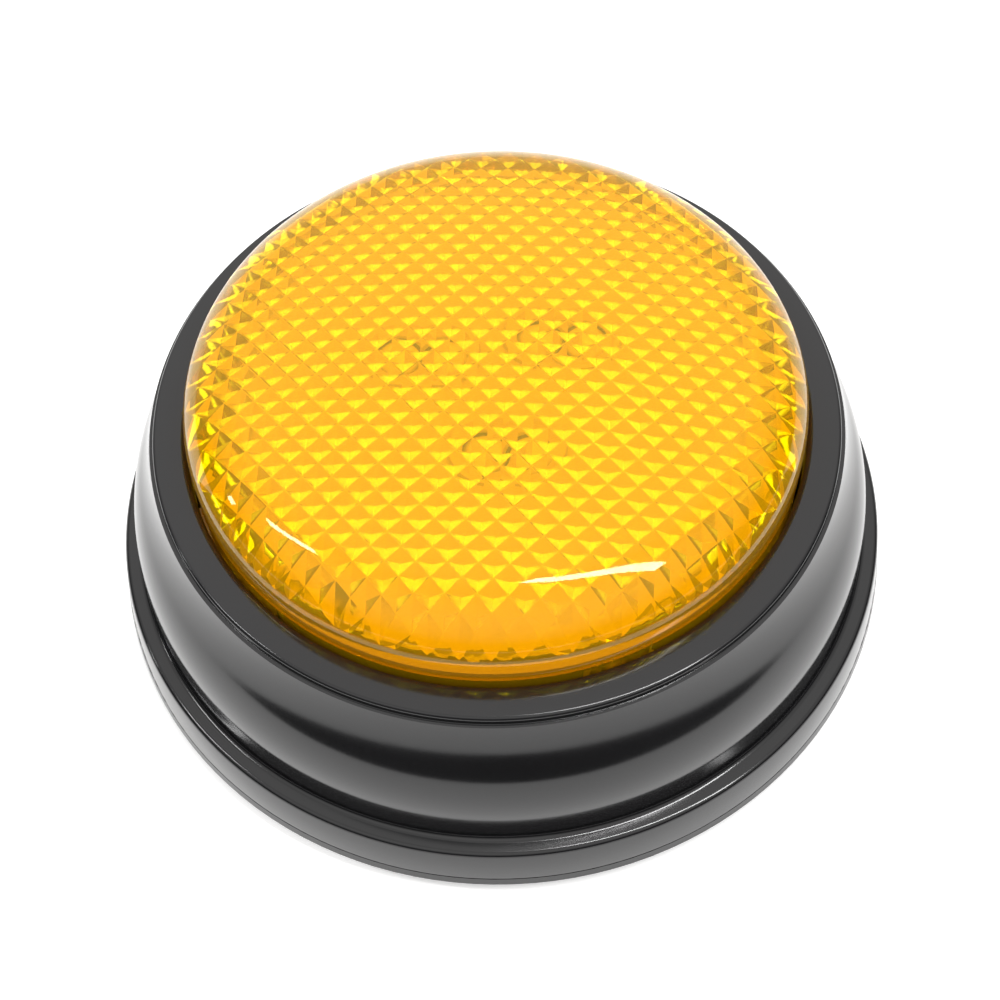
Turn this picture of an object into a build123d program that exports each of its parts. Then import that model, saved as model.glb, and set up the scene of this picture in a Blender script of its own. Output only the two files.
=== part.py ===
from build123d import *
import os
from math import asin, cos, radians, sin

# Quiz buzzer: a round black base with an amber push dome that lights up and sounds when pressed.
# Millimetres. Z is up, the origin is on the floor under the centre of the base, and +X and +Y
# point at rubber feet. The two cells lie along Y on the +X side and the speaker on the -X side.

# ---- driving dimensions ----
BASE_RADIUS = 45.0            # bottom edge of the flange
FOOT_STAND = 1.5              # how far the feet hold the base off the floor
FLANGE_TOP_RADIUS = 44.0
FLANGE_TOP = 7.8
BULGE_ROOT_RADIUS = 41.05     # where the bulge stands on the flange
BULGE_WIDEST = (41.55, 13.2)
BULGE_SHOULDER = (39.75, 19.5)
RING_TOP = 26.3
RING_EDGE_RADIUS = 37.3
RING_HOLE_RADIUS = 33.45
WALL = 2.0                    # wall of the black housing
DOME_RADIUS = 33.2            # straight side of the amber dome
DOME_WALL = 1.8
DOME_CROWN_THICKNESS = 2.4
DOME_TOP = 36.7
PRESS_TRAVEL = 2.5
SWITCH_TRAVEL = 0.25

FLOOR_TOP = 3.1               # inside face of the bottom cover
RIM_TOP = 2.9                 # where the housing stands on the bottom cover
CELL_RADIUS = 5.25
CELL_LENGTH = 44.5
CELL_X = (9.4, 20.6)
CELL_AXIS_Z = 8.75
BOX_CEILING = 14.3
BOX_TOP = 15.5
BOX_X = (3.7, 26.3)           # inside faces of the battery box
BOX_Y = 24.3
BOX_WALL = 1.2
BOARD_RADIUS = 30.5
BOARD_BOTTOM = 16.5
BOARD_TOP = 17.7
PLATE_RADIUS = 31.1
PLATE_BOTTOM = 24.9
PLATE_TOP = 26.1
LED_HOLE = 2.65               # the lights stand up through the plate with this little room
BOWL_RADIUS = 4.0             # open end of the shallow bowl round each light
BOWL_RISE = 0.9
SLEEVE_BOTTOM = 21.0          # lower end of the housing's guide sleeve
SLEEVE_RADIUS = 34.9

FOOT_CENTRE_RADIUS = 38.5
FOOT_RADIUS = 6.0
FOOT_RECESS = 0.5
SPRING_CENTRE_RADIUS = 23.0
SPRING_MEAN_RADIUS = 2.3
SPRING_WIRE = 0.25            # wire radius
SPRING_PIN_RADIUS = 1.3
SPEAKER = (-17.5, 0.0)
SPEAKER_RADIUS = 14.0
LEAD_RADIUS = 0.55
LEAD_Y = -26.15                # the battery leads rise just outside the box's end wall
DOOR_X = (2.7, 27.3)
DOOR_Y = (-25.3, 25.3)
DOOR_THICK = 1.0
DOOR_GAP = 0.15
EAR_RADIUS = 3.6              # screwed ear at the door's +Y end
EAR_TOP = 2.8
TAB_X = (5.0, 25.0)           # tabs at the door's -Y end, beside the cells
TAB_HALF_WIDTH = 1.0
TAB_Y = (-24.1, -23.2)
HOOK_REACH = -26.2            # how far the tabs' hooks reach under the box's end wall
HOOK_Z = (3.3, 4.2)
CONTACT_TAB_X = (8.0, 16.6)
CONTACT_Z = (4.4, 13.0)
CONTACT_THICK = 0.4
CELL_SHIFT = 1.6              # each cell sits this far towards its positive end
CLEAR = 0.05

FEET = [(FOOT_CENTRE_RADIUS * cos(radians(a)), FOOT_CENTRE_RADIUS * sin(radians(a)))
        for a in (0, 90, 180, 270)]
SPRINGS = [(SPRING_CENTRE_RADIUS * cos(radians(a)), SPRING_CENTRE_RADIUS * sin(radians(a)))
           for a in (0, 120, 240)]
BASE_SCREWS = [(sx * 33.8, sy * 14.0) for sx in (1, -1) for sy in (1, -1)]
BOX_SCREWS = [(15.0, 20.0), (15.0, -20.0)]
POST_SCREWS = [(-22.0, 17.5), (-22.0, -17.5)]
LEDS = [(9.0 * cos(radians(a)), 9.0 * sin(radians(a))) for a in (60, 180, 300)]
DOOR_SCREW = (15.0, 28.0)
LEG_ANGLES = (45, 135, 225, 315)


# ---- helpers ----
def rod(x, y, radius, low, high):
    """Upright cylinder between two heights."""
    return Pos(x, y, (low + high) / 2) * Cylinder(radius, high - low)


def block(x0, x1, y0, y1, z0, z1):
    """Box between two corners."""
    return Pos((x0 + x1) / 2, (y0 + y1) / 2, (z0 + z1) / 2) * Box(x1 - x0, y1 - y0, z1 - z0)


def turned(*edges):
    """Solid turned about Z from a closed outline of (radius, height) edges."""
    return revolve(Plane.XZ * make_face(Curve() + list(edges)), Axis.Z)


def turned_points(points):
    """Solid turned about Z from straight-sided (radius, height) corners."""
    return revolve(Plane.XZ * make_face(Polyline(*points, close=True)), Axis.Z)


def tube(x, y, inner, outer, low, high):
    """Upright ring between two heights."""
    return rod(x, y, outer, low, high) - rod(x, y, inner, low - 1, high + 1)


def joined(parts):
    """Fuse a list of shapes into one."""
    solid = parts[0]
    for part in parts[1:]:
        solid += part
    return solid


def save(shape, node):
    """Write one node as a STEP file, with its solids side by side."""
    shape.label = node
    export_step(shape, "parts/" + node + ".step")


def save_group(solids, node):
    """Write several separate solids as one node."""
    save(Compound(children=list(solids)), node)


# ---- black housing ----
def housing_outline(inset):
    """Edges of the bulge from the flange up to the ring, moved inwards by inset."""
    root = (BULGE_ROOT_RADIUS - inset, FLANGE_TOP - inset)
    widest = (BULGE_WIDEST[0] - inset, BULGE_WIDEST[1])
    shoulder = (BULGE_SHOULDER[0] - inset * 0.83, BULGE_SHOULDER[1] - inset * 0.56)
    neck = (RING_EDGE_RADIUS + 0.25 - inset, RING_TOP - 0.95 - inset * 0.6)
    side = Line(root, widest)
    lower = TangentArc(widest, shoulder, tangent=side % 1)
    upper = TangentArc(shoulder, neck, tangent=lower % 1)
    return side, lower, upper, neck


def make_upper_housing():
    """Flange, bulge and top ring, with the dome's guide sleeve and four screw bosses."""
    side, lower, upper, neck = housing_outline(0.0)
    in_side, in_lower, in_upper, in_neck = housing_outline(WALL)
    flange_foot = (BASE_RADIUS - 0.22, RIM_TOP)
    flange_top = (FLANGE_TOP_RADIUS, FLANGE_TOP)
    step_in = (RING_EDGE_RADIUS, neck[1])
    ring_corner = (RING_EDGE_RADIUS, RING_TOP)
    hole_corner = (RING_HOLE_RADIUS, RING_TOP)
    ring_under = RING_TOP - WALL
    shell = turned(
        Line((42.9, RIM_TOP), flange_foot),
        Line(flange_foot, flange_top),
        Line(flange_top, side @ 0),
        side, lower, upper,
        Line(neck, step_in),
        Line(step_in, ring_corner),
        Line(ring_corner, hole_corner),
        Line(hole_corner, (RING_HOLE_RADIUS, SLEEVE_BOTTOM)),
        Line((RING_HOLE_RADIUS, SLEEVE_BOTTOM), (SLEEVE_RADIUS, SLEEVE_BOTTOM)),
        Line((SLEEVE_RADIUS, SLEEVE_BOTTOM), (SLEEVE_RADIUS, ring_under)),
        Line((SLEEVE_RADIUS, ring_under), in_neck),
        in_upper, in_lower, in_side,
        Line(in_side @ 0, (42.2, FLANGE_TOP - WALL)),
        Line((42.2, FLANGE_TOP - WALL), (42.9, RIM_TOP)),
    )

    def circles(radius, height):
        found = shell.edges().filter_by(GeomType.CIRCLE)
        return [e for e in found if abs(e.radius - radius) < 0.01
                and abs(e.center().Z - height) < 0.01]

    shell = fillet(circles(RING_HOLE_RADIUS, RING_TOP), 0.7)
    shell = fillet(circles(RING_EDGE_RADIUS, RING_TOP), 0.45)
    shell = fillet(circles(FLANGE_TOP_RADIUS, FLANGE_TOP), 0.6)
    shell = fillet(circles(BULGE_ROOT_RADIUS, FLANGE_TOP), 0.7)
    envelope = turned(
        side, lower, upper,
        Line(neck, (RING_EDGE_RADIUS, ring_under)),
        Line((RING_EDGE_RADIUS, ring_under), (SLEEVE_RADIUS - 0.4, ring_under)),
        Line((SLEEVE_RADIUS - 0.4, ring_under), (SLEEVE_RADIUS - 0.4, 4.6)),
        Line((SLEEVE_RADIUS - 0.4, 4.6), (BULGE_ROOT_RADIUS - 1.0, 4.6)),
        Line((BULGE_ROOT_RADIUS - 1.0, 4.6), side @ 0),
    )
    for x, y in BASE_SCREWS:
        boss = rod(x, y, 2.6, 4.6, ring_under) & envelope
        shell = shell + boss - rod(x, y, 1.0, 4.0, 14.0)
    return shell


# ---- amber dome ----
def dome_arcs(wall_radius, side_top, first, second, crown_lift):
    """Outline of the dome from the top of its side to its centre, as three tangent arcs."""
    slant = cos(radians(45))
    end_angle = radians(82)
    start = (wall_radius, side_top)
    mid = (wall_radius - first + first * slant, side_top + first * slant)
    hub = (mid[0] - second * slant, mid[1] - second * slant)
    rim = (hub[0] + second * cos(end_angle), hub[1] + second * sin(end_angle))
    edge = TangentArc(start, mid, tangent=(0, 1))
    turn = TangentArc(mid, rim, tangent=edge % 1)
    ball = (rim[0] ** 2 + crown_lift ** 2) / (2 * crown_lift)
    top = rim[1] + crown_lift
    half_angle = asin(rim[0] / ball) / 2
    halfway = (ball * sin(half_angle), top - ball + ball * cos(half_angle))
    crown = ThreePointArc(rim, halfway, (0, top))
    return edge, turn, crown


def make_dome_lens():
    """Amber cap with a thick crown, a shoulder for the white plate and four hooked legs."""
    side_top = 28.64
    inside = DOME_RADIUS - DOME_WALL
    shoulder = inside - 0.8
    skirt = SLEEVE_BOTTOM + 0.5
    edge, turn, crown = dome_arcs(DOME_RADIUS, side_top, 5.2, 9.0, 1.84)
    in_top = (crown @ 1).Y - DOME_CROWN_THICKNESS
    in_edge, in_turn, in_crown = dome_arcs(shoulder, side_top, 3.4, 6.6, 1.7)
    drop = (in_crown @ 1).Y - in_top
    in_edge, in_turn, in_crown = dome_arcs(shoulder, side_top - drop, 3.4, 6.6, 1.7)
    cap = turned(
        Line((DOME_RADIUS, skirt), (DOME_RADIUS, side_top)),
        edge, turn, crown,
        Line(crown @ 1, in_crown @ 1),
        in_crown, in_turn, in_edge,
        Line(in_edge @ 0, (shoulder, PLATE_TOP)),
        Line((shoulder, PLATE_TOP), (inside, PLATE_TOP)),
        Line((inside, PLATE_TOP), (inside, skirt)),
        Line((inside, skirt), (DOME_RADIUS, skirt)),
    )
    hook_top = SLEEVE_BOTTOM - 0.1
    leg_ring = turned_points([
        (inside, skirt + 0.5), (inside, 18.4), (DOME_RADIUS + 0.5, 18.4),
        (DOME_RADIUS + 1.3, hook_top - 0.8), (DOME_RADIUS + 1.3, hook_top),
        (DOME_RADIUS, hook_top), (DOME_RADIUS, skirt + 0.5),
    ])
    for angle in LEG_ANGLES:
        sector = Rot(0, 0, angle) * block(25, 40, -3.5, 3.5, 17, 23)
        cap += leg_ring & sector
    return cap


def make_press_plate():
    """White reflector disc under the dome, which presses the switch and sits on the springs."""
    plate = rod(0, 0, PLATE_RADIUS, PLATE_BOTTOM, PLATE_TOP)
    plate += tube(0, 0, 29.0, 30.2, PLATE_TOP, PLATE_TOP + 1.0)
    plate += rod(0, 0, 2.0, PLATE_BOTTOM - 0.6, PLATE_BOTTOM)
    for x, y in LEDS:
        plate += rod(x, y, BOWL_RADIUS + 0.3, PLATE_TOP, PLATE_TOP + BOWL_RISE)
    for x, y in LEDS:
        plate -= Pos(x, y, PLATE_TOP + 0.35) * Cone(LED_HOLE, BOWL_RADIUS, 1.5)
        plate -= rod(x, y, LED_HOLE, PLATE_BOTTOM - 1, PLATE_TOP)
    for x, y in SPRINGS:
        plate += rod(x, y, SPRING_PIN_RADIUS, PLATE_BOTTOM - 2.5, PLATE_BOTTOM)
    return plate


# ---- bottom cover ----
def make_bottom_cover():
    """Floor of the base: battery box, speaker collar and grille, posts, bosses and foot recesses."""
    rib_in, rib_out, rib_top = 40.6, 41.8, 5.4
    cover = turned_points([
        (0, FOOT_STAND), (BASE_RADIUS - 0.35, FOOT_STAND), (BASE_RADIUS, FOOT_STAND + 0.35),
        (BASE_RADIUS - 0.2, RIM_TOP), (42.5, RIM_TOP), (42.5, FLOOR_TOP), (rib_out, FLOOR_TOP),
        (rib_out, rib_top), (rib_in, rib_top), (rib_in, FLOOR_TOP), (0, FLOOR_TOP),
    ])
    x0, x1 = BOX_X
    cover += block(x0 - BOX_WALL, x1 + BOX_WALL, -BOX_Y - BOX_WALL, BOX_Y + BOX_WALL,
                   FOOT_STAND + 1.0, BOX_TOP)
    cover += tube(*SPEAKER, SPEAKER_RADIUS + 0.15, SPEAKER_RADIUS + 1.3, FLOOR_TOP - 0.5, 6.5)
    cover += rod(*DOOR_SCREW, 3.0, FLOOR_TOP - 0.5, 9.0)
    cover += joined([rod(x, y, 3.6, FLOOR_TOP - 0.5, 4.6) for x, y in BASE_SCREWS])
    cover += joined([rod(x, y, 2.4, FLOOR_TOP - 0.5, BOARD_BOTTOM) for x, y in POST_SCREWS])
    for x, y in SPRINGS[1:]:
        cover += rod(x, y, 2.9, FLOOR_TOP - 0.5, BOX_TOP)
    cover += joined([rod(x, y, SPRING_PIN_RADIUS, BOX_TOP - 0.5, BOX_TOP + 2.0)
                     for x, y in SPRINGS])
    cover -= block(x0, x1, -BOX_Y, BOX_Y, 0, BOX_CEILING)
    cover += joined([rod(x, y, 1.8, 12.6, BOARD_BOTTOM) for x, y in BOX_SCREWS])
    cover -= door_recess()
    for x, y in FEET:
        cover -= rod(x, y, FOOT_RADIUS + 0.1, 0, FOOT_STAND + FOOT_RECESS)
    for x, y in BASE_SCREWS:
        cover -= rod(x, y, 1.3, 0, 6)
        cover -= rod(x, y, 2.4, 0, 3.3)
    for x, y in BOX_SCREWS + POST_SCREWS:
        cover -= rod(x, y, 1.0, 13.0, 20)
    cover -= rod(*DOOR_SCREW, 1.4, 0, 8.0)
    cover -= grille_holes()
    for x in CONTACT_TAB_X:
        cover -= block(x - 1.5, x + 1.5, -BOX_Y - 2, -BOX_Y + 1, 11.6, 12.8)
    return cover


def grille_holes():
    """Round holes in the floor under the speaker: a centre hole and two rings."""
    holes = [rod(*SPEAKER, 0.9, 0, 5)]
    for count, ring in ((6, 4.0), (12, 8.0)):
        for i in range(count):
            angle = radians(360 * i / count)
            x = SPEAKER[0] + ring * cos(angle)
            y = SPEAKER[1] + ring * sin(angle)
            holes.append(rod(x, y, 0.9, 0, 5))
    return joined(holes)


def door_recess():
    """Space that the battery door fills in the floor, with its tab and screw ear openings."""
    gap = DOOR_GAP
    recess = block(DOOR_X[0] - gap, DOOR_X[1] + gap, DOOR_Y[0] - gap, DOOR_Y[1] + gap,
                   0, FOOT_STAND + DOOR_THICK)
    ear_top = EAR_TOP + 0.1
    recess += rod(*DOOR_SCREW, EAR_RADIUS + gap, 0, ear_top)
    recess += block(DOOR_SCREW[0] - EAR_RADIUS - gap, DOOR_SCREW[0] + EAR_RADIUS + gap,
                    BOX_Y, DOOR_SCREW[1], 0, ear_top)
    half = TAB_HALF_WIDTH + 2 * gap
    for x in TAB_X:
        recess += block(x - half, x + half, HOOK_REACH - 0.5, -BOX_Y + 1, 2.0, HOOK_Z[1] + 1.0)
    return recess


def make_battery_door():
    """Flat door that tilts on one rounded edge with two hooked tabs; its other end has grip
    grooves and a screwed ear."""
    edge_radius = DOOR_THICK / 2
    middle = FOOT_STAND + edge_radius
    door = block(*DOOR_X, DOOR_Y[0] + edge_radius, DOOR_Y[1], FOOT_STAND, FOOT_STAND + DOOR_THICK)
    door += Pos(sum(DOOR_X) / 2, DOOR_Y[0] + edge_radius, middle) * Rot(0, 90, 0) * Cylinder(
        edge_radius, DOOR_X[1] - DOOR_X[0])
    door += rod(*DOOR_SCREW, EAR_RADIUS, FOOT_STAND, EAR_TOP)
    door += block(DOOR_SCREW[0] - EAR_RADIUS, DOOR_SCREW[0] + EAR_RADIUS, BOX_Y + 0.6,
                  DOOR_SCREW[1], FOOT_STAND, EAR_TOP)
    for x in TAB_X:
        low, high = x - TAB_HALF_WIDTH, x + TAB_HALF_WIDTH
        door += block(low, high, *TAB_Y, middle, HOOK_Z[1])
        door += block(low, high, HOOK_REACH, TAB_Y[1], *HOOK_Z)
    for i in range(5):
        y = 16.0 + 1.6 * i
        door -= block(9.0, 21.0, y, y + 0.8, FOOT_STAND - 1, FOOT_STAND + 0.35)
    door -= rod(*DOOR_SCREW, 2.3, 0, FOOT_STAND + 0.7)
    door -= rod(*DOOR_SCREW, 1.15, 0, 5)
    return door


# ---- fasteners ----
def screw(x, y, seat, head_height, head_radius, shank_radius, length, up):
    """Pan-head screw with a cross slot; the shank runs up or down from the seat."""
    way = 1 if up else -1
    head_end = seat - way * head_height
    tip = seat + way * length
    body = rod(x, y, head_radius, min(seat, head_end), max(seat, head_end))
    rim = body.edges().filter_by(GeomType.CIRCLE).sort_by(Axis.Z)[0 if up else -1]
    body = fillet(rim, head_height * 0.45)
    body += rod(x, y, shank_radius, min(seat, tip), max(seat, tip))
    slot_z = head_end + way * head_height * 0.22
    slots = Box(head_radius * 1.2, 0.4, head_height * 0.45) + Box(0.4, head_radius * 1.2,
                                                                 head_height * 0.45)
    return body - Pos(x, y, slot_z) * slots


def make_base_screws():
    """Four screws up through the bottom cover into the housing's bosses."""
    return [screw(x, y, 3.3, 1.3, 2.0, 0.95, 9.3, True) for x, y in BASE_SCREWS]


def make_board_screws():
    """Four short screws that hold the circuit board down."""
    return [screw(x, y, BOARD_TOP, 1.3, 1.9, 0.95, 4.4, False) for x, y in BOX_SCREWS + POST_SCREWS]


# ---- power ----

def make_cell(x, plus_end):
    """Slim round cell along Y, with its positive nub at the plus_end side."""
    low = -CELL_LENGTH / 2 + plus_end * CELL_SHIFT
    nub = 0.9
    body_low = low + (nub if plus_end < 0 else 0.0)
    body = Pos(x, body_low + (CELL_LENGTH - nub) / 2, CELL_AXIS_Z) * Rot(90, 0, 0) * Cylinder(
        CELL_RADIUS, CELL_LENGTH - nub)
    body = fillet(body.edges().filter_by(GeomType.CIRCLE), 0.4)
    nub_y = low + nub / 2 if plus_end < 0 else low + CELL_LENGTH - nub / 2
    return body + Pos(x, nub_y, CELL_AXIS_Z) * Rot(90, 0, 0) * Cylinder(1.9, nub)


def contact_plate(x0, x1, end):
    """Thin metal plate on the inside of the battery box's end wall."""
    outer = end * (BOX_Y - CLEAR)
    inner = end * (BOX_Y - CLEAR - CONTACT_THICK)
    return block(x0, x1, min(inner, outer), max(inner, outer), *CONTACT_Z)


def contact_spring(x, end):
    """Coil that presses on a cell's flat end."""
    length = 2.45
    wire = 0.2
    path = Helix(pitch=length / 3, height=length, radius=2.4)
    coil = sweep(Plane(origin=path @ 0, z_dir=path % 0) * Circle(wire), path=path)
    start = end * (BOX_Y - CLEAR - CONTACT_THICK - wire + 0.1)
    return Pos(x, start, CELL_AXIS_Z) * Rot(90 * end, 0, 0) * coil


def contact_tab(x):
    """Strip that carries a contact out through the box's end wall."""
    return block(x - 1.2, x + 1.2, -BOX_Y - 2.3, -BOX_Y + CLEAR + 0.1, 12.0, 12.4)


def make_contact_positive():
    """Plate for the first cell's nub, with its tab."""
    return contact_plate(6.4, 13.6, -1) + contact_tab(CONTACT_TAB_X[0])


def make_contact_negative():
    """Plate and coil for the second cell's flat end, with its tab."""
    return (contact_plate(15.2, 23.6, -1) + contact_tab(CONTACT_TAB_X[1])
            + contact_spring(CELL_X[1], -1))


def make_contact_bridge():
    """Plate across both cells, with the coil for the first cell's flat end."""
    return contact_plate(5.2, 24.8, 1) + contact_spring(CELL_X[0], 1)


def make_lead(points, bend):
    """Round insulated wire along straight runs joined by arcs."""
    path = FilletPolyline(*points, radius=bend)
    return sweep(Plane(origin=path @ 0, z_dir=path % 0) * Circle(LEAD_RADIUS), path=path)


# ---- circuit ----
def make_circuit_board():
    """Round board with holes for its screws and the return springs."""
    board = rod(0, 0, BOARD_RADIUS, BOARD_BOTTOM, BOARD_TOP)
    for x, y in BOX_SCREWS + POST_SCREWS:
        board -= rod(x, y, 1.2, 10, 20)
    for x, y in SPRINGS:
        board -= rod(x, y, 3.2, 10, 20)
    return board


def make_switch_case():
    """Square case of the push switch, open at the top for its button."""
    case = block(-3, 3, -3, 3, BOARD_TOP, BOARD_TOP + 3.5)
    case = chamfer(case.edges().filter_by(Axis.Z), 0.4)
    return case - rod(0, 0, 1.83, BOARD_TOP + 1.2, BOARD_TOP + 5)


def make_switch_pins():
    """Four flat solder pins beside the switch case."""
    return [block(min(sx * 3.0, sx * 4.4), max(sx * 3.0, sx * 4.4), sy * 2.25 - 0.35,
                  sy * 2.25 + 0.35, BOARD_TOP, BOARD_TOP + 0.25)
            for sx in (1, -1) for sy in (1, -1)]


def make_switch_button():
    """Round button of the push switch."""
    button = rod(0, 0, 1.75, BOARD_TOP + 1.5, BOARD_TOP + 4.3)
    return fillet(button.edges().filter_by(GeomType.CIRCLE).sort_by(Axis.Z)[-1], 0.3)


def make_led(x, y):
    """Round-nosed light with a flanged foot."""
    radius = 2.5
    body = rod(x, y, radius, BOARD_TOP, BOARD_TOP + 8.6 - radius)
    body += Pos(x, y, BOARD_TOP + 8.6 - radius) * Sphere(radius)
    return body + rod(x, y, radius + 0.4, BOARD_TOP, BOARD_TOP + 1.0)


def make_sound_chip():
    """Low round drop of black resin over the sound chip."""
    radius, height = 4.5, 1.3
    ball = (radius * radius + height * height) / (2 * height)
    cap = Pos(-19, 0, BOARD_TOP + height - ball) * Sphere(ball)
    return cap & rod(-19, 0, radius + 1, BOARD_TOP, BOARD_TOP + height + 1)


def make_resistor(x, y):
    """Small resistor lying along X on two bent wires."""
    height = BOARD_TOP + 1.1
    body = Pos(x, y, height) * Rot(0, 90, 0) * Cylinder(0.85, 3.4)
    for side in (1, -1):
        body += Pos(x + side * 1.35, y, height) * Rot(0, 90, 0) * Cylinder(1.0, 0.8)
    wire = Pos(x, y, height) * Rot(0, 90, 0) * Cylinder(0.25, 6.4)
    legs = [rod(x + side * 3.0, y, 0.25, BOARD_TOP, height) for side in (1, -1)]
    return joined([body, wire] + legs)


def make_capacitor():
    """Upright round capacitor with a rounded can."""
    can = rod(14, 8, 2.0, BOARD_TOP, BOARD_TOP + 4.2)
    return fillet(can.edges().filter_by(GeomType.CIRCLE).sort_by(Axis.Z)[-1], 0.4)


def make_transistor():
    """Small half-round transistor standing on the board."""
    body = rod(14, -8, 2.3, BOARD_TOP, BOARD_TOP + 4.2)
    return body - block(10, 13.2, -12, -4, BOARD_TOP - 1, BOARD_TOP + 6)


# ---- speaker ----
def make_speaker_frame():
    """Steel basket of the speaker, face down, with its solder tag."""
    frame = Pos(*SPEAKER, 0) * turned_points([
        (12.2, 3.2), (14.0, 3.2), (14.0, 4.0), (12.4, 4.0), (8.5, 7.4), (0, 7.4), (0, 6.9),
        (8.1, 6.9), (11.8, 3.9), (12.2, 3.6),
    ])
    tag = block(SPEAKER[0] + 7.8, SPEAKER[0] + 10.8, -3, 3, 6.9, 7.4)
    return frame + tag


def make_speaker_cone():
    """Thin driver cone with its centre cap."""
    return Pos(*SPEAKER, 0) * turned_points([
        (0, 4.4), (3.4, 4.9), (4.0, 5.6), (10.0, 4.0), (11.5, 3.4), (11.5, 3.7), (10.0, 4.4),
        (4.0, 6.1), (3.0, 5.5), (0, 4.9),
    ])


def make_speaker_magnet():
    """Round magnet on the back of the basket."""
    magnet = Pos(*SPEAKER, 0) * rod(0, 0, 7.0, 7.4, 10.2)
    return chamfer(magnet.edges().filter_by(GeomType.CIRCLE).sort_by(Axis.Z)[-1], 0.5)


def make_speaker_ring():
    """Plastic ring that holds the speaker down in its collar."""
    return Pos(*SPEAKER, 0) * tube(0, 0, 12.8, 14.05, 4.05, 5.6)


# ---- springs and feet ----
def make_return_spring(x, y):
    """Coil spring between the battery box level and the white plate."""
    low = BOX_TOP + SPRING_WIRE + CLEAR
    height = PLATE_BOTTOM - SPRING_WIRE - CLEAR - low
    path = Helix(pitch=height / 6, height=height, radius=SPRING_MEAN_RADIUS)
    coil = sweep(Plane(origin=path @ 0, z_dir=path % 0) * Circle(SPRING_WIRE), path=path)
    return Pos(x, y, low) * coil


def make_foot(x, y):
    """Round rubber pad set in a shallow recess of the bottom cover."""
    pad = rod(x, y, FOOT_RADIUS, 0, FOOT_STAND + FOOT_RECESS)
    return fillet(pad.edges().filter_by(GeomType.CIRCLE).sort_by(Axis.Z)[0], 0.5)


def main():
    """Build every node and write its STEP file."""
    os.makedirs("parts", exist_ok=True)
    save(make_upper_housing(), "upper_housing")
    save(make_dome_lens(), "dome_lens")
    save(make_press_plate(), "press_plate")
    save(make_bottom_cover(), "bottom_cover")
    save(make_battery_door(), "battery_door")
    save(screw(*DOOR_SCREW, FOOT_STAND + 0.7, 0.6, 2.0, 0.95, 5.4, True), "door_screw")
    save_group(make_base_screws(), "base_screws")
    save_group(make_board_screws(), "board_screws")
    for number, (x, y) in enumerate(FEET, 1):
        save(make_foot(x, y), f"rubber_foot_{number}")
    for number, (x, y) in enumerate(SPRINGS, 1):
        save(make_return_spring(x, y), f"return_spring_{number}")
    save(make_circuit_board(), "circuit_board")
    save(make_switch_case(), "switch_case")
    save_group(make_switch_pins(), "switch_pins")
    save(make_switch_button(), "switch_button")
    for number, (x, y) in enumerate(LEDS, 1):
        save(make_led(x, y), f"led_{number}")
    save(make_sound_chip(), "sound_chip")
    save_group([make_resistor(0, 16), make_resistor(0, -16), make_resistor(1, 20)], "resistors")
    save(make_capacitor(), "capacitor")
    save(make_transistor(), "transistor")
    save(make_speaker_frame(), "speaker_frame")
    save(make_speaker_cone(), "speaker_cone")
    save(make_speaker_magnet(), "speaker_magnet")
    save(make_speaker_ring(), "speaker_ring")
    for colour, y in (("red", 1.7), ("black", -1.7)):
        route = [(-7.6, y, 7.4), (-7.6, y, 10.5), (-4.2, y, 13.6), (-4.2, y, BOARD_BOTTOM)]
        save(make_lead(route, 1.5), f"speaker_lead_{colour}")
    save(make_cell(CELL_X[0], -1), "cell_1")
    save(make_cell(CELL_X[1], 1), "cell_2")
    save(make_contact_positive(), "contact_positive")
    save(make_contact_negative(), "contact_negative")
    save(make_contact_bridge(), "contact_bridge")
    for colour, start_x, end_x in (("red", CONTACT_TAB_X[0], 9.2), ("black", CONTACT_TAB_X[1], 14.4)):
        route = [(start_x, LEAD_Y, 12.4), (start_x, LEAD_Y, 13.5), (end_x, LEAD_Y, 15.1),
                 (end_x, LEAD_Y, BOARD_BOTTOM)]
        save(make_lead(route, 0.8), f"battery_lead_{colour}")


main()
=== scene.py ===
import logging
import math
from collections.abc import Callable
from dataclasses import dataclass
from enum import Enum

import bpy
from mathutils import Euler, Matrix, Vector


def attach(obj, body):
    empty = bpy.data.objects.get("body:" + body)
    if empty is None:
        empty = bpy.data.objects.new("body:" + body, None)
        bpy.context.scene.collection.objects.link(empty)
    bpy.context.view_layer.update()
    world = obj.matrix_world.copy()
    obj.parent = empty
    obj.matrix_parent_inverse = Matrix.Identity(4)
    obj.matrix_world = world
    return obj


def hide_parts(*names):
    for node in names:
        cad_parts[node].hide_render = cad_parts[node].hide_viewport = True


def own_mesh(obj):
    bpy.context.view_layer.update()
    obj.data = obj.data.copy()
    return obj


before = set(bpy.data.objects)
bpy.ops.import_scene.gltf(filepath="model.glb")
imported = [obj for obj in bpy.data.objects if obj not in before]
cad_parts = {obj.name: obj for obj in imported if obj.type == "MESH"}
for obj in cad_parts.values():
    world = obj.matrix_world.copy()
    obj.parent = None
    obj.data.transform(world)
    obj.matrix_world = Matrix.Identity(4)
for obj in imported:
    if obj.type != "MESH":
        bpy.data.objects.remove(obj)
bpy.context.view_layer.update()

MM = 0.001
LOG = logging.getLogger("quiz_buzzer")
Point = tuple[float, float]


# ------------------------------------------------------------------ outlines
def arc_points(centre: Point, radius: float, start: float, end: float, steps: int) -> list[Point]:
    """Points along an arc.

    Args:
        centre: the arc's centre, as (radius from the axis, height).
        radius: the arc's own radius.
        start: first angle in degrees, 0 pointing outwards and 90 up.
        end: last angle in degrees.
        steps: number of stretches.

    Returns:
        steps + 1 points, both ends included.
    """
    turns = [math.radians(start + (end - start) * i / steps) for i in range(steps + 1)]
    return [(centre[0] + radius * math.cos(t), centre[1] + radius * math.sin(t)) for t in turns]


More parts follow.
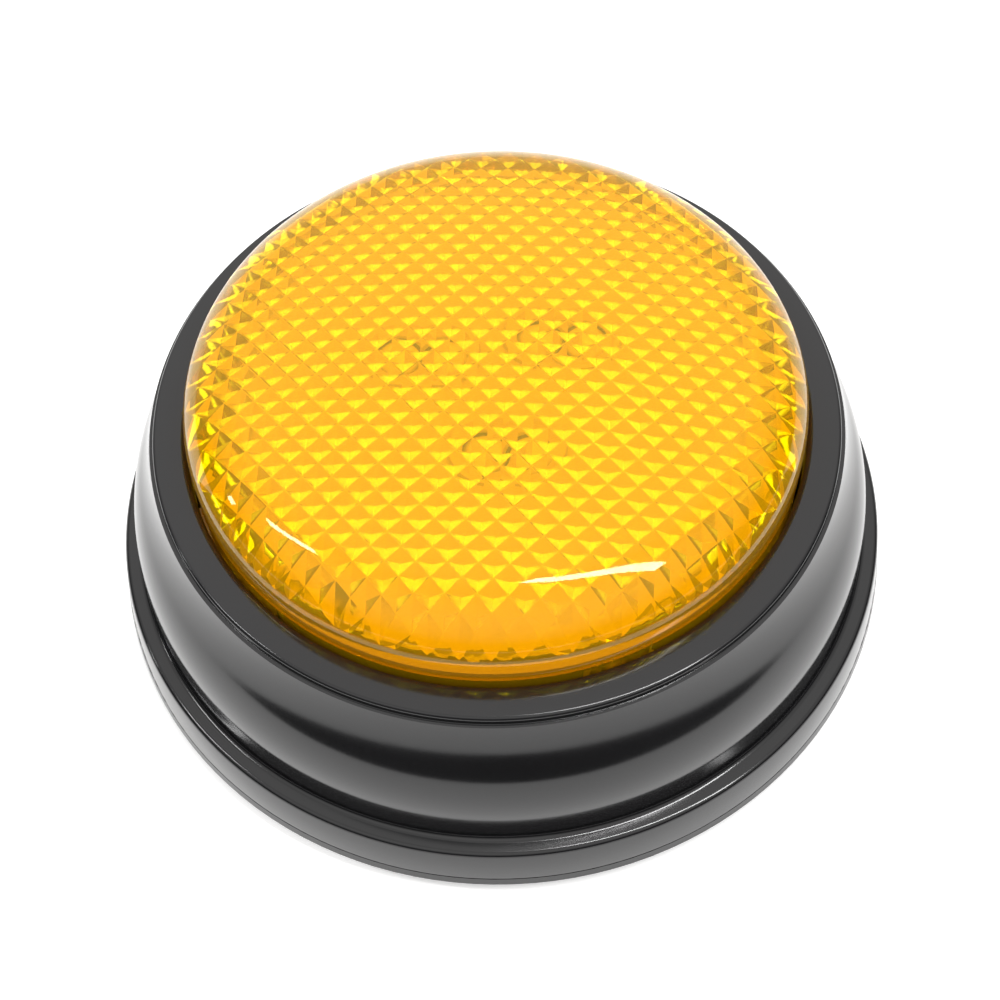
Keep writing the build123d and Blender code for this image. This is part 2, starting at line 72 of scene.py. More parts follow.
def tangent_arc(start: Point, end: Point, heading: float, steps: int) -> tuple[list[Point], float]:
    """Arc from start to end that leaves start in a given direction.

    Args:
        start: first point.
        end: last point.
        heading: direction at the start, in degrees from the outward axis.
        steps: number of stretches.

    Returns:
        The points, both ends included, and the direction at the end.
    """
    chord = math.degrees(math.atan2(end[1] - start[1], end[0] - start[0]))
    turn = chord - heading
    radius = math.dist(start, end) / (2 * math.sin(math.radians(turn)))
    side = math.radians(heading + 90)
    centre = (start[0] + radius * math.cos(side), start[1] + radius * math.sin(side))
    first = math.degrees(math.atan2(start[1] - centre[1], start[0] - centre[0]))
    return arc_points(centre, abs(radius), first, first + 2 * turn, steps), heading + 2 * turn


def rounded(points: list[Point], corners: dict[int, float], steps: int = 6) -> list[Point]:
    """Round some corners of a closed outline.

    Args:
        points: the outline's corners.
        corners: radius for each corner that is rounded, by its place in points.
        steps: stretches in each rounding.

    Returns:
        The outline with an arc in place of each named corner.
    """
    made: list[Point] = []
    for i, here in enumerate(points):
        if i not in corners:
            made.append(here)
            continue
        p = Vector(here)
        back = (Vector(points[i - 1]) - p).normalized()
        onward = (Vector(points[(i + 1) % len(points)]) - p).normalized()
        half = back.angle(onward) / 2
        reach = corners[i] / math.tan(half)
        hub = p + (back + onward).normalized() * (corners[i] / math.sin(half))
        first = p + back * reach - hub
        last = p + onward * reach - hub
        a0 = math.atan2(first.y, first.x)
        sweep = (math.atan2(last.y, last.x) - a0 + math.pi) % (2 * math.pi) - math.pi
        a0, a1 = math.degrees(a0), math.degrees(a0 + sweep)
        made += arc_points((hub.x, hub.y), corners[i], a0, a1, steps)
    return made


# ------------------------------------------------------------------ modelling by operators
def clear_selection() -> None:
    """Leave nothing selected and no object active."""
    if bpy.context.object and bpy.context.object.mode != "OBJECT":
        bpy.ops.object.mode_set(mode="OBJECT")
    bpy.ops.object.select_all(action="DESELECT")
    bpy.context.view_layer.objects.active = None


def activate(piece: bpy.types.Object) -> None:
    """Select one object alone and make it active."""
    clear_selection()
    piece.select_set(True)
    bpy.context.view_layer.objects.active = piece


def named(name: str) -> bpy.types.Object:
    """Name the object that an operator has just added, and its mesh."""
    piece = bpy.context.object
    piece.name = name
    piece.data.name = name
    return piece


def settle(piece: bpy.types.Object) -> bpy.types.Object:
    """Put an object's place and size into its mesh, so that it sits at the origin."""
    activate(piece)
    bpy.ops.object.transform_apply(location=True, rotation=True, scale=True)
    return piece


def edit_all(piece: bpy.types.Object) -> None:
    """Open a mesh in edit mode with all of it selected."""
    activate(piece)
    bpy.ops.object.mode_set(mode="EDIT")
    bpy.ops.mesh.select_all(action="SELECT")


def pick_faces(piece: bpy.types.Object, wanted: Callable[[bpy.types.MeshPolygon], bool]) -> None:
    """Open a mesh in edit mode with only the faces selected that a test picks."""
    edit_all(piece)
    bpy.ops.mesh.select_mode(type="FACE")
    bpy.ops.mesh.select_all(action="DESELECT")
    bpy.ops.object.mode_set(mode="OBJECT")
    for face in piece.data.polygons:
        face.select = wanted(face)
    bpy.ops.object.mode_set(mode="EDIT")


def close_edit() -> None:
    """Leave edit mode."""
    bpy.ops.mesh.select_mode(type="VERT")
    bpy.ops.object.mode_set(mode="OBJECT")


def tidy_normals(piece: bpy.types.Object, merge: float = 1e-6) -> None:
    """Merge doubled points and turn every face outwards."""
    edit_all(piece)
    bpy.ops.mesh.remove_doubles(threshold=merge)
    bpy.ops.mesh.normals_make_consistent(inside=False)
    close_edit()


def smooth(piece: bpy.types.Object, angle: float = 32.0) -> bpy.types.Object:
    """Shade an object smooth, with edges sharper than angle degrees kept crisp."""
    activate(piece)
    bpy.ops.object.shade_smooth_by_angle(angle=math.radians(angle))
    return piece


def spun(name: str, outline: list[Point], steps: int, closed: bool = True) -> bpy.types.Object:
    """Turn an outline about Z into a solid.

    Args:
        name: the new object's name.
        outline: points as (radius, height) in millimetres.
        steps: stretches round the axis.
        closed: join the last point to the first; an open outline ends on the axis.

    Returns:
        The solid, with its faces outwards.
    """
    clear_selection()
    bpy.ops.mesh.primitive_plane_add(size=MM, location=(outline[0][0] * MM, 0, outline[0][1] * MM))
    piece = settle(named(name))
    edit_all(piece)
    bpy.ops.mesh.merge(type="CENTER")
    for here, there in zip(outline, outline[1:]):
        step = ((there[0] - here[0]) * MM, 0, (there[1] - here[1]) * MM)
        bpy.ops.mesh.extrude_vertices_move(TRANSFORM_OT_translate={"value": step})
    if closed:
        bpy.ops.mesh.select_all(action="SELECT")
        close_edit()
        ends = [piece.data.vertices[0].index, piece.data.vertices[-1].index]
        for vertex in piece.data.vertices:
            vertex.select = vertex.index in ends
        for edge in piece.data.edges:
            edge.select = False
        bpy.ops.object.mode_set(mode="EDIT")
        bpy.ops.mesh.edge_face_add()
    bpy.ops.mesh.select_all(action="SELECT")
    bpy.ops.mesh.spin(steps=steps, angle=2 * math.pi, center=(0, 0, 0), axis=(0, 0, 1))
    close_edit()
    tidy_normals(piece)
    return piece


def cut(piece: bpy.types.Object, tool: bpy.types.Object, how: str) -> bpy.types.Object:
    """Combine two solids with a Boolean modifier that is applied at once.

    Args:
        piece: the solid that is kept.
        tool: the other solid, which is removed afterwards.
        how: DIFFERENCE, UNION or INTERSECT.

    Returns:
        The changed piece.
    """
    activate(piece)
    step = piece.modifiers.new("cut", "BOOLEAN")
    step.operation = how
    step.object = tool
    step.solver = "EXACT"
    step.material_mode = "TRANSFER"
    bpy.ops.object.modifier_apply(modifier=step.name)
    bpy.data.objects.remove(tool)
    return piece


# ------------------------------------------------------------------ shader building
class Nodes:
    """Short way to write a node tree."""

    def __init__(self, tree: bpy.types.NodeTree) -> None:
        """Start on an empty tree."""
        self.tree = tree
        self.tree.nodes.clear()

    def add(self, kind: str, **values: object) -> bpy.types.Node:
        """Add a node, set its properties, and fill or link its inputs.

        Args:
            kind: the node's type name.
            **values: properties by name; an input is named with a leading underscore, spaces
                as underscores, and takes a plain value or another node's output.

        Returns:
            The node.
        """
        node = self.tree.nodes.new(kind)
        for key, value in values.items():
            if not key.startswith("_"):
                setattr(node, key, value)
        for key, value in values.items():
            if key.startswith("_"):
                place = key[1:]
                label = int(place) if place.isdigit() else place.replace("_", " ")
                socket = node.inputs[label]
                if isinstance(value, bpy.types.NodeSocket):
                    self.tree.links.new(value, socket)
                else:
                    socket.default_value = value
        return node

    def maths(self, what: str, a: object, b: object = 0.0, clamp: bool = False) -> bpy.types.NodeSocket:
        """Output of a Math node."""
        return self.add("ShaderNodeMath", operation=what, use_clamp=clamp, _0=a, _1=b).outputs[0]

    def ramp(self, value: bpy.types.NodeSocket, low: float, high: float,
             out_low: float = 0.0, out_high: float = 1.0) -> bpy.types.NodeSocket:
        """Stretch a value from one range to another, smoothly and clamped."""
        node = self.add("ShaderNodeMapRange", interpolation_type="SMOOTHSTEP", _Value=value)
        node.inputs["From Min"].default_value = low
        node.inputs["From Max"].default_value = high
        node.inputs["To Min"].default_value = out_low
        node.inputs["To Max"].default_value = out_high
        return node.outputs["Result"]

    def blend(self, factor: object, a: object, b: object) -> bpy.types.NodeSocket:
        """Mix two colours."""
        node = self.add("ShaderNodeMix", data_type="RGBA")
        for socket, value in zip((node.inputs[0], node.inputs[6], node.inputs[7]), (factor, a, b)):
            if isinstance(value, bpy.types.NodeSocket):
                self.tree.links.new(value, socket)
            else:
                socket.default_value = value
        return node.outputs[2]


class Effect(Enum):
    """Shader effects that several finishes share, each built once as a node group."""

    CLOUDY = "cloudy_tone"
    GRAIN = "moulded_grain"
    DUST = "dust_specks"
    WEAR = "edge_wear"


def new_group(effect: Effect, inputs: dict[str, float], outputs: dict[str, str]) -> Nodes:
    """Start a node group with named sockets.

    Args:
        effect: which effect it is.
        inputs: input names and their default numbers.
        outputs: output names and their socket types.

    Returns:
        The group's tree, holding its input and output nodes.
    """
    tree = bpy.data.node_groups.new(effect.value, "ShaderNodeTree")
    for name, value in inputs.items():
        socket = tree.interface.new_socket(name, in_out="INPUT", socket_type="NodeSocketFloat")
        socket.default_value = value
    for name, kind in outputs.items():
        tree.interface.new_socket(name, in_out="OUTPUT", socket_type=kind)
    return Nodes(tree)


def build_cloudy() -> None:
    """Slow drifts of tone over a moulded surface, as a factor round 1."""
    made = new_group(Effect.CLOUDY, {"Scale": 60.0, "Amount": 0.1}, {"Tone": "NodeSocketFloat"})
    start = made.add("NodeGroupInput")
    place = made.add("ShaderNodeTexCoord").outputs["Object"]
    noise = made.add("ShaderNodeTexNoise", _Vector=place, _Scale=start.outputs["Scale"],
                     _Detail=4.0, _Roughness=0.6)
    centred = made.maths("SUBTRACT", noise.outputs["Fac"], 0.5)
    spread = made.maths("MULTIPLY", centred, start.outputs["Amount"])
    made.add("NodeGroupOutput", _Tone=made.maths("ADD", made.maths("MULTIPLY", spread, 2.0), 1.0))


def build_grain() -> None:
    """Fine grain of a moulded or matt surface, as a height."""
    made = new_group(Effect.GRAIN, {"Scale": 2500.0, "Coarse": 300.0, "Share": 0.3},
                     {"Height": "NodeSocketFloat"})
    start = made.add("NodeGroupInput")
    place = made.add("ShaderNodeTexCoord").outputs["Object"]
    fine = made.add("ShaderNodeTexNoise", _Vector=place, _Scale=start.outputs["Scale"], _Detail=2.0)
    broad = made.add("ShaderNodeTexNoise", _Vector=place, _Scale=start.outputs["Coarse"], _Detail=1.0)
    part = made.maths("MULTIPLY", broad.outputs["Fac"], start.outputs["Share"])
    made.add("NodeGroupOutput", _Height=made.maths("ADD", fine.outputs["Fac"], part))


def build_dust() -> None:
    """Sparse pale specks, as a mask from 0 to 1."""
    made = new_group(Effect.DUST, {"Scale": 260.0, "Size": 0.08, "Share": 0.1},
                     {"Mask": "NodeSocketFloat"})
    start = made.add("NodeGroupInput")
    place = made.add("ShaderNodeTexCoord").outputs["Object"]
    cells = made.add("ShaderNodeTexVoronoi", feature="F1", _Vector=place,
                     _Scale=start.outputs["Scale"], _Randomness=1.0)
    parts = made.add("ShaderNodeSeparateColor", _Color=cells.outputs["Color"])
    chosen = made.maths("LESS_THAN", parts.outputs["Red"], start.outputs["Share"])
    reach = made.maths("MULTIPLY", start.outputs["Size"], parts.outputs["Green"])
    near = made.maths("LESS_THAN", cells.outputs["Distance"], reach)
    made.add("NodeGroupOutput", _Mask=made.maths("MULTIPLY", chosen, near))


def build_wear() -> None:
    """Broken lighter line along sharp outer edges, as a mask from 0 to 1."""
    made = new_group(Effect.WEAR, {"Start": 0.55, "End": 0.65, "Scale": 700.0},
                     {"Mask": "NodeSocketFloat"})
    start = made.add("NodeGroupInput")
    edge = made.add("ShaderNodeNewGeometry").outputs["Pointiness"]
    line = made.add("ShaderNodeMapRange", _Value=edge)
    made.tree.links.new(start.outputs["Start"], line.inputs["From Min"])
    made.tree.links.new(start.outputs["End"], line.inputs["From Max"])
    place = made.add("ShaderNodeTexCoord").outputs["Object"]
    noise = made.add("ShaderNodeTexNoise", _Vector=place, _Scale=start.outputs["Scale"], _Detail=3.0)
    broken = made.ramp(noise.outputs["Fac"], 0.42, 0.62)
    made.add("NodeGroupOutput", _Mask=made.maths("MULTIPLY", line.outputs["Result"], broken, True))


def build_effects() -> None:
    """Build every shared shader group once."""
    build_cloudy()
    build_grain()
    build_dust()
    build_wear()


Colour = tuple[float, float, float, float]


@dataclass(frozen=True)
class Plastic:
    """Moulded plastic, rubber, resin or paper: one tone that drifts a little, with fine grain."""

    name: str
    colour: Colour
    roughness: float
    tone_drift: float = 0.12
    tone_scale: float = 60.0
    grain_height: float = 0.000004
    grain_scale: float = 2500.0
    dust: float = 0.0
    dust_scale: float = 260.0
    wear: float = 0.0
    metallic: float = 0.0
    coat: float = 0.0
    specular: float = 0.5
    subsurface: float = 0.0

    def build(self) -> bpy.types.Material:
        """Make the material with its node tree."""
        material = bpy.data.materials.new(self.name)
        material.use_nodes = True
        made = Nodes(material.node_tree)
        tone = made.add("ShaderNodeGroup", node_tree=bpy.data.node_groups[Effect.CLOUDY.value])
        tone.inputs["Scale"].default_value = self.tone_scale
        tone.inputs["Amount"].default_value = self.tone_drift
        colour = made.add("ShaderNodeMix", data_type="RGBA", blend_type="MULTIPLY")
        colour.inputs[0].default_value = 1.0
        colour.inputs[6].default_value = self.colour
        made.tree.links.new(tone.outputs["Tone"], colour.inputs[7])
        shade = colour.outputs[2]
        if self.wear > 0:
            worn = made.add("ShaderNodeGroup", node_tree=bpy.data.node_groups[Effect.WEAR.value])
            pale = tuple(min(1.0, c * 2.2 + 0.03) for c in self.colour[:3]) + (1.0,)
            strength = made.maths("MULTIPLY", worn.outputs["Mask"], self.wear)
            shade = made.blend(strength, shade, pale)
        rough = made.maths("MULTIPLY", tone.outputs["Tone"], self.roughness)
        if self.dust > 0:
            specks = made.add("ShaderNodeGroup", node_tree=bpy.data.node_groups[Effect.DUST.value])
            specks.inputs["Scale"].default_value = self.dust_scale
            specks.inputs["Share"].default_value = self.dust
            shade = made.blend(specks.outputs["Mask"], shade, (0.55, 0.54, 0.52, 1.0))
            rough = made.maths("ADD", rough, made.maths("MULTIPLY", specks.outputs["Mask"], 0.6), True)
        grain = made.add("ShaderNodeGroup", node_tree=bpy.data.node_groups[Effect.GRAIN.value])
        grain.inputs["Scale"].default_value = self.grain_scale
        bump = made.add("ShaderNodeBump", _Height=grain.outputs["Height"], _Strength=1.0,
                        _Distance=self.grain_height)
        surface = made.add("ShaderNodeBsdfPrincipled", _Base_Color=shade, _Roughness=rough,
                           _Normal=bump.outputs[0], _Metallic=self.metallic,
                           _Coat_Weight=self.coat, _Specular_IOR_Level=self.specular,
                           _Subsurface_Weight=self.subsurface)
        surface.inputs["Subsurface Radius"].default_value = (0.002, 0.002, 0.002)
        made.add("ShaderNodeOutputMaterial", _Surface=surface.outputs[0])
        return material


@dataclass(frozen=True)
class Lens:
    """Clear tinted plastic that lamps shine through."""

    name: str
    colour: Colour
    lamp_side: Colour
    roughness: float = 0.03
    refraction: float = 1.47
    clear: float = 1.0
    gloss: float = 0.3
    mirror: Colour = (1.0, 0.88, 0.5, 1)

    def build(self) -> bpy.types.Material:
        """Make the material with its node tree."""
        material = bpy.data.materials.new(self.name)
        material.use_nodes = True
        made = Nodes(material.node_tree)
        tone = made.add("ShaderNodeGroup", node_tree=bpy.data.node_groups[Effect.CLOUDY.value])
        tone.inputs["Scale"].default_value = 90.0
        tone.inputs["Amount"].default_value = 0.25
        specks = made.add("ShaderNodeGroup", node_tree=bpy.data.node_groups[Effect.DUST.value])
        specks.inputs["Scale"].default_value = 170.0
        specks.inputs["Share"].default_value = 0.02
        rough = made.maths("MULTIPLY", tone.outputs["Tone"], self.roughness)
        rough = made.maths("ADD", rough, made.maths("MULTIPLY", specks.outputs["Mask"], 0.4), True)
        grain = made.add("ShaderNodeGroup", node_tree=bpy.data.node_groups[Effect.GRAIN.value])
        grain.inputs["Scale"].default_value = 400.0
        bump = made.add("ShaderNodeBump", _Height=grain.outputs["Height"], _Strength=0.4,
                        _Distance=0.00001)
        surface = made.add("ShaderNodeBsdfPrincipled", _Base_Color=self.colour, _Roughness=rough,
                           _Normal=bump.outputs[0], _IOR=self.refraction,
                           _Transmission_Weight=self.clear, _Specular_IOR_Level=self.gloss,
                           _Specular_Tint=self.mirror)
        through = made.add("ShaderNodeBsdfTransparent", _Color=self.lamp_side)
        path = made.add("ShaderNodeLightPath")
        seen = made.add("ShaderNodeMixShader", _0=path.outputs["Is Diffuse Ray"],
                        _1=surface.outputs[0], _2=through.outputs[0])
        both = made.add("ShaderNodeMixShader", _0=path.outputs["Is Shadow Ray"],
                        _1=seen.outputs[0], _2=through.outputs[0])
        made.add("ShaderNodeOutputMaterial", _Surface=both.outputs[0])
        return material


GLOSS_BLACK = Plastic("gloss_black_plastic", (0.006, 0.006, 0.0066, 1), 0.12, tone_drift=0.25,
                      grain_height=0.0000012, grain_scale=900.0, dust=0.003)
WHITE = Plastic("white_plastic", (0.6, 0.6, 0.58, 1), 0.45, tone_drift=0.04)
RUBBER = Plastic("black_rubber", (0.018, 0.018, 0.018, 1), 0.75, grain_height=0.00002)
STEEL = Plastic("zinc_plated_steel", (0.62, 0.61, 0.58, 1), 0.3, metallic=1.0, wear=0.3)
SPRING_STEEL = Plastic("spring_wire", (0.55, 0.55, 0.56, 1), 0.28, metallic=1.0)
NICKEL = Plastic("nickel_plate", (0.70, 0.68, 0.62, 1), 0.25, metallic=1.0)
BOARD = Plastic("green_board", (0.02, 0.16, 0.05, 1), 0.35, tone_drift=0.3, coat=0.3)
DARK_PART = Plastic("dark_moulded_part", (0.02, 0.02, 0.02, 1), 0.4)
RESISTOR = Plastic("lacquered_ceramic", (0.55, 0.42, 0.26, 1), 0.35)
CAN = Plastic("sleeved_can", (0.03, 0.04, 0.09, 1), 0.3)
BASKET = Plastic("speaker_basket", (0.42, 0.43, 0.44, 1), 0.35, metallic=1.0)
PAPER = Plastic("speaker_paper", (0.04, 0.04, 0.04, 1), 0.9, grain_height=0.00003)
RED_WIRE = Plastic("red_wire", (0.5, 0.02, 0.02, 1), 0.4)
BLACK_WIRE = Plastic("black_wire", (0.02, 0.02, 0.02, 1), 0.4)
JACKET = Plastic("cell_jacket", (0.10, 0.11, 0.13, 1), 0.22, coat=0.3)
AMBER = Lens("amber_lens", (1.0, 0.82, 0.0, 1), (0.98, 0.66, 0.0, 1), clear=0.9)
AMBER_INSIDE = Lens("amber_inside", (1.0, 0.66, 0.0, 1), (0.98, 0.66, 0.0, 1), clear=0.78)
LAMP = Plastic("milky_lamp", (0.85, 0.85, 0.82, 1), 0.25, tone_drift=0.05)


class Paint:
    """Keeps each finish's material and gives it to pieces."""

    def __init__(self) -> None:
        """Start with no material built."""
        self.built: dict[str, bpy.types.Material] = {}

    def coat(self, piece: bpy.types.Object, finish: Plastic | Lens) -> None:
        """Give a piece one finish all over."""
        if finish.name not in self.built:
            self.built[finish.name] = finish.build()
        piece.data.materials.clear()
        piece.data.materials.append(self.built[finish.name])


PAINT = Paint()


# ------------------------------------------------------------------ the object's own pieces
@dataclass
class BlackHousing:
    """Flange, bulge and top ring of the base. Sizes are in millimetres from the floor."""

    base_radius: float = 45.0
    rim_height: float = 2.9
    flange_top: Point = (44.0, 7.8)
    root_radius: float = 41.95
    widest: Point = (41.8, 12.0)
    shoulder: Point = (39.75, 19.5)
    neck: Point = (37.55, 25.35)
    ring_edge: float = 37.1
    ring_top: float = 26.3
    hole: float = 33.45
    sleeve_outer: float = 34.9
    sleeve_bottom: float = 21.0
    wall: float = 2.0
    segments: int = 240

    def outline(self) -> list[Point]:
        """Half section of the shell, anticlockwise from the skirt's inner bottom edge."""
        heading = math.degrees(math.atan2(self.widest[1] - self.flange_top[1],
                                          self.widest[0] - self.root_radius))
        lower, turned = tangent_arc(self.widest, self.shoulder, heading, 14)
        upper, _ = tangent_arc(self.shoulder, self.neck, turned, 12)
        under = self.ring_top - self.wall
        inner = [(r - self.wall * 0.9, z - self.wall * 0.45) for r, z in reversed(lower + upper[1:])]
        corners = [
            (42.9, self.rim_height), (self.base_radius - 0.22, self.rim_height), self.flange_top,
            (self.root_radius, self.flange_top[1]), *lower, *upper[1:],
            (self.ring_edge, self.neck[1]), (self.ring_edge, self.ring_top),
            (self.hole, self.ring_top), (self.hole, self.sleeve_bottom),
            (self.sleeve_outer, self.sleeve_bottom), (self.sleeve_outer, under),
            *inner, (self.root_radius - self.wall, self.flange_top[1] - self.wall),
            (42.2, self.flange_top[1] - self.wall),
        ]
        first = 4 + len(lower) + len(upper) - 1
        radii = {1: 0.12, 2: 0.6, 3: 0.7, first: 0.08, first + 1: 0.42, first + 2: 0.7}
        return rounded(corners, radii)

    def build(self) -> bpy.types.Object:
        """Spin the shell and dress it."""
        shell = spun("upper_shell", self.outline(), self.segments)
        smooth(shell, 40)
        PAINT.coat(shell, GLOSS_BLACK)
        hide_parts("upper_housing")
        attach(shell, "base")
        return shell


@dataclass
class AmberDome:
    """Thick clear cap: smooth outside, and inside a field of small pyramids and a fluted side."""

    radius: float = 33.2
    skirt: float = 21.5
    side_top: float = 28.64
    edge_radius: float = 5.2
    turn_radius: float = 9.0
    crown_lift: float = 1.84
    plate_seat: float = 26.1
    seat_radius: float = 31.4
    thickness: float = 1.4
    pitch: float = 2.14
    pyramid_depth: float = 0.8
    ridge_width: float = 0.04
    grid_angle: float = 64.5
    flutes: int = 132
    flute_depth: float = 0.07
    draft: float = 0.3
    flute_top: float = 31.0
    leg_angles: tuple[float, ...] = (45.0, 135.0, 225.0, 315.0)
    leg_width: float = 7.0
    leg_bottom: float = 18.4
    leg_wall: float = 1.8
    leg_steps: int = 144
    hollow_from: float = 15.0
    hook_reach: float = 34.5
    hook_top: float = 20.9
    segments: int = 200

    def profile(self, inset: float) -> list[Point]:
        """Outline of the dome from the top of its side to the centre of its crown.

        Args:
            inset: how far inside the outer surface the outline runs.

        Returns:
            Points from the side towards the axis, the last one on it.
        """
        slant = math.sqrt(0.5)
        edge_hub = (self.radius - self.edge_radius, self.side_top)
        reach = (self.edge_radius - self.turn_radius) * slant
        turn_hub = (edge_hub[0] + reach, edge_hub[1] + reach)
        edge = arc_points(edge_hub, self.edge_radius - inset, 0, 45, 10)
        turn = arc_points(turn_hub, self.turn_radius - inset, 45, 82, 12)
        rim = arc_points(turn_hub, self.turn_radius, 82, 82, 1)[0]
        ball = (rim[0] ** 2 + self.crown_lift ** 2) / (2 * self.crown_lift)
        low = math.degrees(math.acos(rim[0] / ball))
        crown = arc_points((0, rim[1] + self.crown_lift - ball), ball - inset, low, 90, 24)
        return edge + turn[1:] + crown[1:-1] + [(0.0, crown[-1][1])]

    def ceiling(self, radius: float) -> float:
        """Height of the inner surface, before its pyramids, at a distance from the axis."""
        outline = self.profile(self.thickness + self.draft)
        for (r0, z0), (r1, z1) in zip(outline, outline[1:]):
            if r1 <= radius <= r0:
                return z0 + (z1 - z0) * (r0 - radius) / (r0 - r1)
        return self.side_top - 0.6 * (radius - outline[0][0])

    def pyramid_field(self) -> bpy.types.Object:
        """Closed block whose top is the inner surface with its pyramids."""
        cells = 2 * math.ceil((self.radius + 2) / self.pitch)
        clear_selection()
        bpy.ops.mesh.primitive_grid_add(x_subdivisions=cells, y_subdivisions=cells,
                                        size=cells * self.pitch * MM)
        field = named("pyramid_field")
        field.rotation_euler = Euler((0, 0, math.radians(self.grid_angle)))
        settle(field)
        limit = (self.radius + 0.8 * self.pitch) * MM
        pick_faces(field, lambda face: face.center.length > limit)
        bpy.ops.mesh.delete(type="FACE")
        close_edit()
        for vertex in field.data.vertices:
            distance = math.hypot(vertex.co.x, vertex.co.y) / MM
            vertex.co.z = (self.ceiling(distance) + self.ridge_width) * MM
        edit_all(field)
        bpy.ops.mesh.extrude_region_move(TRANSFORM_OT_translate={"value": (0, 0, -20 * MM)})
        bpy.ops.transform.resize(value=(1, 1, 0), center_override=(0, 0, (self.plate_seat - 1) * MM))
        close_edit()
        low = (self.plate_seat - 0.5) * MM
        corners = len(field.data.vertices)
        pick_faces(field, lambda face: abs(face.normal.z) > 0.05 and face.center.z > low)
        bpy.ops.mesh.poke(offset=0.0, use_relative_offset=False)
        close_edit()
        for vertex in field.data.vertices:
            if vertex.index >= corners:
                vertex.co.z -= self.pyramid_depth * MM
        tidy_normals(field)
        return field

    def fluted_core(self) -> bpy.types.Object:
        """Core with the dome's inner outline, whose side carries shallow upright flutes."""
        inner = self.profile(self.thickness + self.draft)
        low = self.plate_seat - 0.5
        foot = (self.radius - self.thickness, low)
        core = spun("fluted_core", [(0, low), foot, *inner], 2 * self.flutes, closed=False)
        half_step = math.pi / self.flutes
        for vertex in core.data.vertices:
            place = round(math.atan2(vertex.co.y, vertex.co.x) / half_step)
            distance = math.hypot(vertex.co.x, vertex.co.y) / MM
            if place % 2 and distance > 20 and vertex.co.z < self.flute_top * MM:
                fade = min(1.0, self.flute_top - vertex.co.z / MM)
                shrink = 1 - fade * self.flute_depth / distance
                vertex.co.x *= shrink
                vertex.co.y *= shrink
        return core

    def leg(self, angle: float) -> bpy.types.Object:
        """One hooked leg below the skirt.

        Args:
            angle: where it stands, in degrees about the axis.

        Returns:
            The leg as a closed solid.
        """
        inside, outside = self.radius - self.leg_wall, self.radius
        outline = [(inside, self.skirt + 0.5), (inside, self.leg_bottom),
                   (outside + 0.5, self.leg_bottom), (self.hook_reach, self.hook_top - 0.8),
                   (self.hook_reach, self.hook_top), (outside, self.hook_top),
                   (outside, self.skirt + 0.5)]
        ring = spun("dome_leg", rounded(outline, {1: 0.25, 2: 0.3, 3: 0.2}, 3), self.leg_steps)
        clear_selection()
        size = (12 * MM, self.leg_width * MM, 8 * MM)
        bpy.ops.mesh.primitive_cube_add(size=1, location=(inside * MM, 0, self.skirt * MM), scale=size)
        sector = settle(named("leg_sector"))
        sector.rotation_euler = Euler((0, 0, math.radians(angle)))
        settle(sector)
        return cut(ring, sector, "INTERSECT")

    def build(self) -> bpy.types.Object:
        """Cut the hollow from the outside shape, add the legs and dress the dome."""
        outline = [(0, self.skirt), (self.radius, self.skirt), *self.profile(0)]
        lens = spun("dome_cap", outline, self.segments, closed=False)
        PAINT.coat(lens, AMBER)
        clear_selection()
        bottom = self.hollow_from
        bpy.ops.mesh.primitive_cylinder_add(vertices=self.segments, radius=self.seat_radius * MM,
                                            depth=(self.plate_seat - bottom) * MM,
                                            location=(0, 0, (self.plate_seat + bottom) / 2 * MM))
        seat = settle(named("seat_hollow"))
        PAINT.coat(seat, AMBER_INSIDE)
        cut(lens, seat, "DIFFERENCE")
        hollow = cut(self.pyramid_field(), self.fluted_core(), "INTERSECT")
        PAINT.coat(hollow, AMBER_INSIDE)
        cut(lens, hollow, "DIFFERENCE")
        for angle in self.leg_angles:
            cut(lens, self.leg(angle), "UNION")
        tidy_normals(lens)
        smooth(lens, 24)
        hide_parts("dome_lens")
        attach(lens, "dome")
        return lens


@dataclass
class Spring:
    """One of the coil springs that push the dome up, with its foot on the base."""

    node: str
    angle: float
    ring: float = 23.0
    foot: float = 15.5
    top: float = 24.9
    mean_radius: float = 2.3
    wire_radius: float = 0.25
    turns: int = 6
    pressed_share: float = 0.734

    def build(self) -> bpy.types.Object:
        """Wind the coil and close its ends."""
        clear_selection()
        bpy.ops.mesh.primitive_circle_add(vertices=12, radius=self.wire_radius * MM,
                                          location=(self.mean_radius * MM, 0, self.wire_radius * MM),
                                          rotation=(math.pi / 2, 0, 0))
        coil = settle(named(f"{self.node}_coil"))
        wind = coil.modifiers.new("wind", "SCREW")
        wind.axis = "Z"
        wind.iterations = self.turns
        wind.steps = wind.render_steps = 40
        wind.screw_offset = (self.top - self.foot - 2 * self.wire_radius) / self.turns * MM
        activate(coil)
        bpy.ops.object.modifier_apply(modifier=wind.name)
        edit_all(coil)
        bpy.ops.mesh.fill_holes(sides=0)
        close_edit()
        turn = math.radians(self.angle)
        place = (self.ring * math.cos(turn), self.ring * math.sin(turn), self.foot)
        coil.location = Vector(place) * MM
        settle(coil)
        tidy_normals(coil)
        smooth(coil, 50)
        PAINT.coat(coil, SPRING_STEEL)
        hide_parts(self.node)
        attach(coil, "base")
        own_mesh(coil)
        return coil


